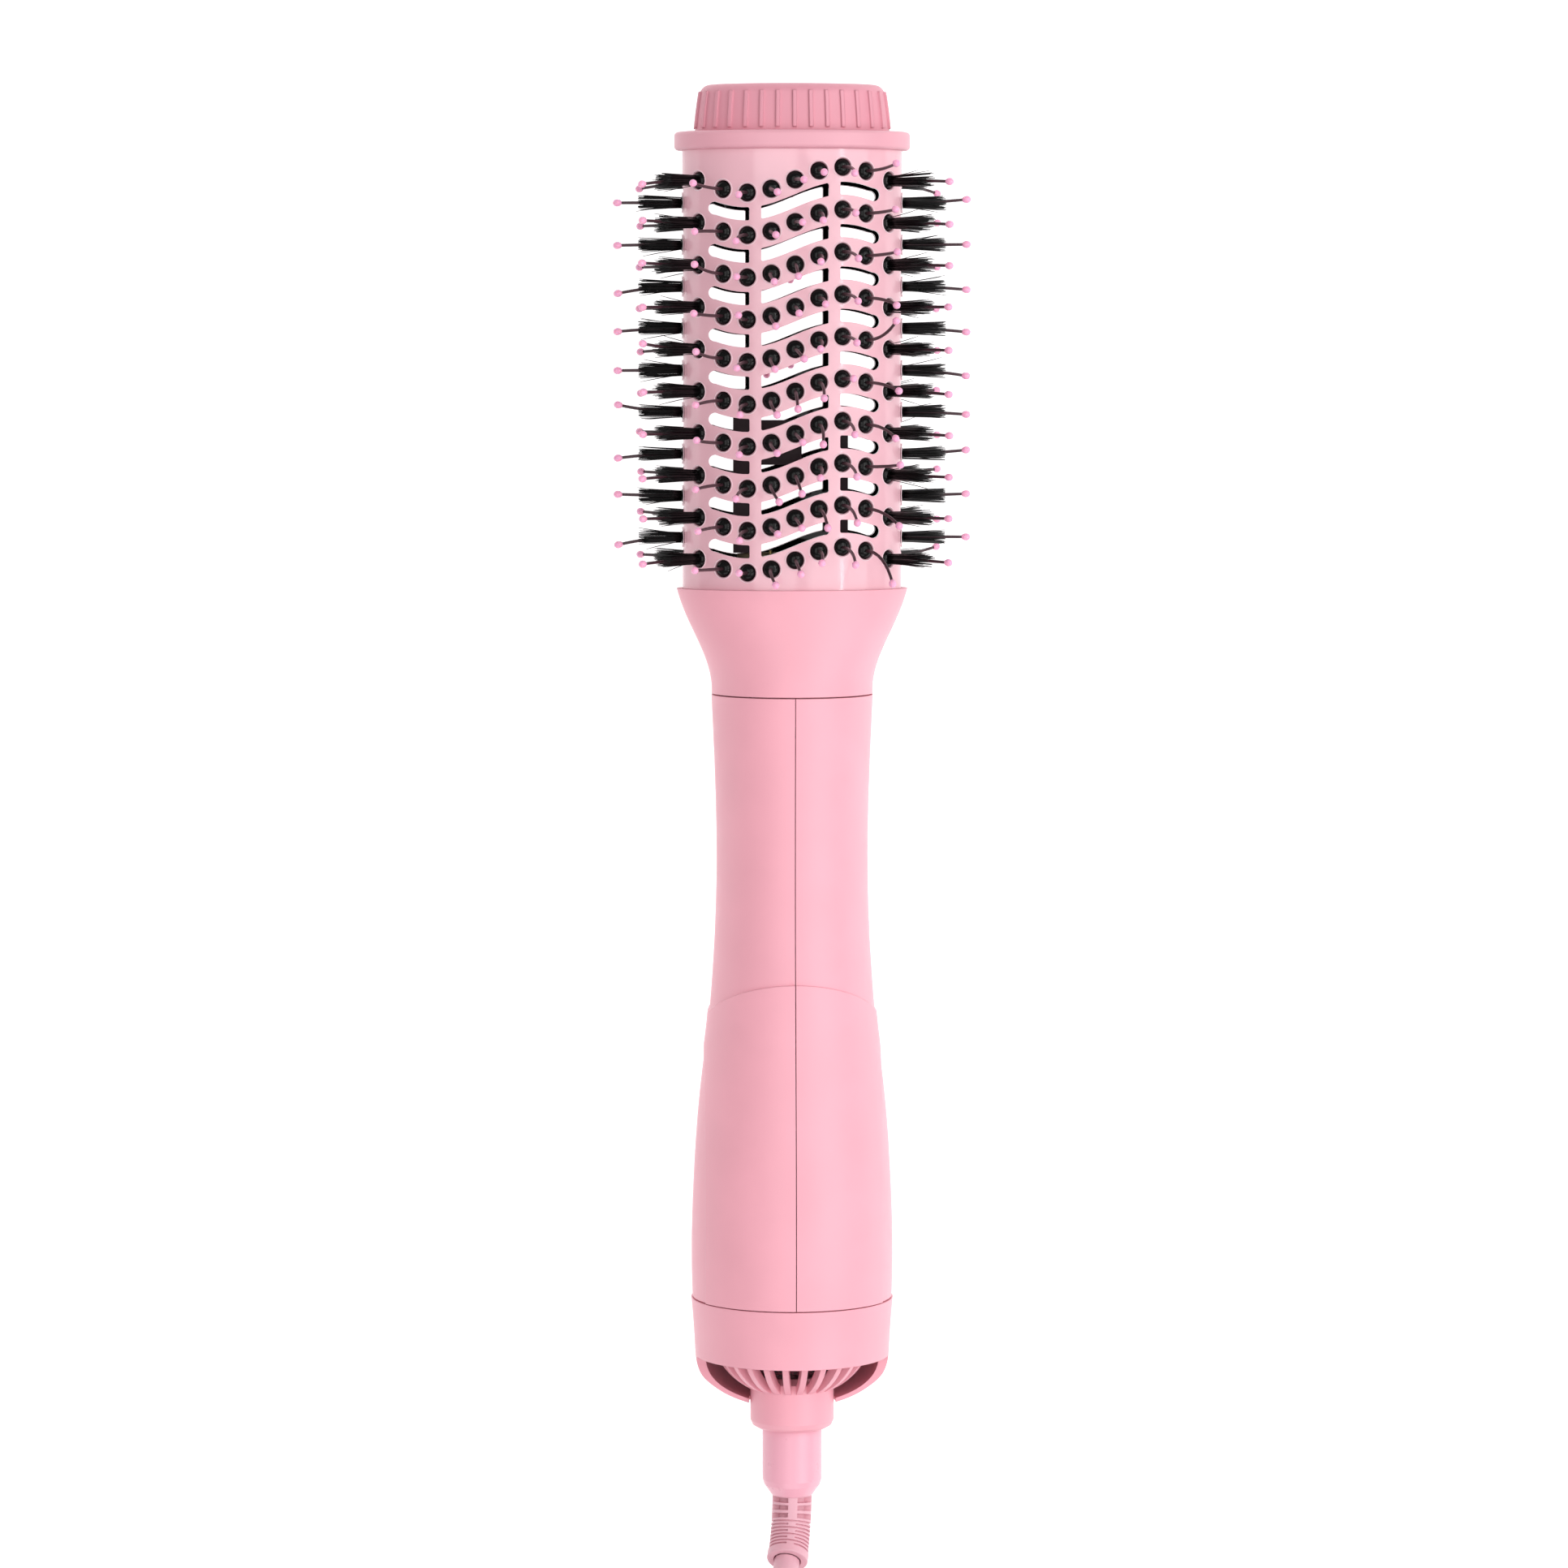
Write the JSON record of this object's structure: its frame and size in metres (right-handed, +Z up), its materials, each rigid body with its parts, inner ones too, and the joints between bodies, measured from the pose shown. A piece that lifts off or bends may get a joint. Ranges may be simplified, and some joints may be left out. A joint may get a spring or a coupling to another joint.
{
  "type": "hot air brush",
  "caption": "Oval hot air styling brush with bristle tufts and bead-tipped pins, vented barrel, ribbed cool tip, motor fan, heater, turning selector collar and swivel mains cord.",
  "frame": {"origin": "on the surface that the brush lies on, below the middle of the brush without its cord", "axes": "+Y along the brush towards its tip, +Z up from the surface, +X to the right seen from above with the tip ahead"},
  "size_m": [0.1353, 0.5935, 0.0766],
  "materials": {
    "barrel_gloss": "polished moulded plastic",
    "grip_soft": "soft-touch coating",
    "cap_matte": "fine matte texture",
    "ring_satin": "satin",
    "carrier_black": "glossy heat-proof plastic",
    "bristle_black": "fine bristles",
    "pin_brown": "nylon",
    "ball_pink": "dipped bead",
    "heater_red": "heat-proof plastic",
    "mica": "mica sheet",
    "heating_wire": "drawn wire",
    "steel": "zinc plated",
    "brass": "drawn",
    "copper": "enamelled copper",
    "magnet_dark": "sintered",
    "housing_grey": "moulded",
    "board_tan": "laminate",
    "black_rubber": "rubber",
    "filter_black": "woven wire, blackened",
    "ferrule_satin": "satin",
    "cord_rubber": "soft sheath",
    "chrome": "nickel plated"
  },
  "bodies": {
    "brush": {"barrel_front_shell": "barrel_gloss", "bristle_carrier_front": "carrier_black", "barrel_back_shell": "barrel_gloss", "bristle_carrier_back": "carrier_black", "side_strip_left": "barrel_gloss", "side_strip_right": "barrel_gloss", "tuft_bosses_front": "carrier_black", "bristles_front": "bristle_black", "pins_front": "pin_brown", "ball_tips_front": "ball_pink", "tuft_bosses_back": "carrier_black", "bristles_back": "bristle_black", "pins_back": "pin_brown", "ball_tips_back": "ball_pink", "tuft_bosses_sides": "carrier_black", "bristles_sides": "bristle_black", "pins_sides": "pin_brown", "ball_tips_sides": "ball_pink", "tip_cap": "cap_matte", "tip_ring": "ring_satin", "tip_screws": "steel", "neck_funnel": "grip_soft", "barrel_seat": "heater_red", "seat_screws": "steel", "heater_shroud": "mica", "heater_boards": "mica", "heater_coil": "heating_wire", "thermostat": "steel", "thermal_fuse": "brass", "heater_frame_left": "heater_red", "heater_frame_right": "heater_red", "handle_left_shell": "grip_soft", "handle_right_shell": "grip_soft", "fan_duct": "housing_grey", "motor_damper": "black_rubber", "motor_can": "steel", "motor_magnets": "magnet_dark", "motor_end_cap": "housing_grey", "rectifier_board": "board_tan", "rectifier_diodes": "carrier_black", "wiring": "copper", "detent_spring": "steel", "selector_switch": "housing_grey", "inlet_grille": "grip_soft", "inlet_filter": "filter_black"},
    "rotor": {"motor_armature": "copper", "motor_shaft": "steel", "fan_impeller": "housing_grey"},
    "selector": {"selector_collar": "grip_soft", "selector_finger": "grip_soft"},
    "cord_end": {"swivel_clip": "steel", "swivel_ferrule": "ferrule_satin", "strain_relief": "cord_rubber", "power_cord": "cord_rubber", "cord_tail": "cord_rubber", "cord_coil": "cord_rubber", "cord_tie": "black_rubber", "plug_body": "cord_rubber", "plug_pins": "chrome"}
  },
  "joints": [
    {"name": "cord_swivel", "type": "hinge", "parent": "cord_end", "child": "brush", "pos_m": [0, -0.16725, 0.02634], "axis": [0, 0.9991, 0.0423], "continuous": true},
    {"name": "selector_turn", "type": "hinge", "parent": "brush", "child": "selector", "pos_m": [0, -0.14727, 0.02718], "axis": [0, 0.9991, 0.0423], "range_deg": [0, 90]},
    {"name": "fan_spin", "type": "hinge", "parent": "brush", "child": "rotor", "pos_m": [0, -0.1123, 0.02867], "axis": [0, 0.9991, 0.0423], "continuous": true}
  ]
}
